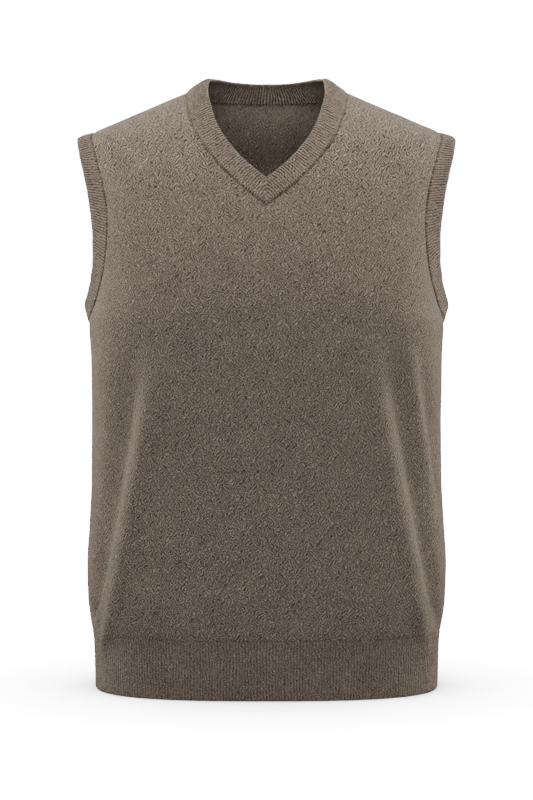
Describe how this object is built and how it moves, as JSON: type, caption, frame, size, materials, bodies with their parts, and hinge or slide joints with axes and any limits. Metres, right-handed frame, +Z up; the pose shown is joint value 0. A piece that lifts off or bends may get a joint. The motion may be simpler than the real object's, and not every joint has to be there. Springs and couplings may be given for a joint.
{
  "type": "knitted sweater vest",
  "caption": "Sleeveless V-neck knitted sweater vest with ribbed neck, armhole and hem bands, filled out and hollow, as worn.",
  "frame": {"origin": "midway between the two high shoulder points, where the shoulder seams meet the neck band", "axes": "+Z up along the body, +X towards the wearer's left side, -Y out of the chest"},
  "size_m": [0.4248, 0.2554, 0.6807],
  "materials": {
    "jersey_knit": "fine plain knit in brown-grey heather wool, matt with a faint nap",
    "rib_knit": "the same yarn in one-by-one rib, matt"
  },
  "bodies": {
    "root": {"front_panel": "jersey_knit", "back_panel": "jersey_knit", "neck_band": "rib_knit", "armhole_band_left": "rib_knit", "armhole_band_right": "rib_knit", "hem_rib_front": "rib_knit", "hem_rib_back": "rib_knit"}
  },
  "joints": []
}
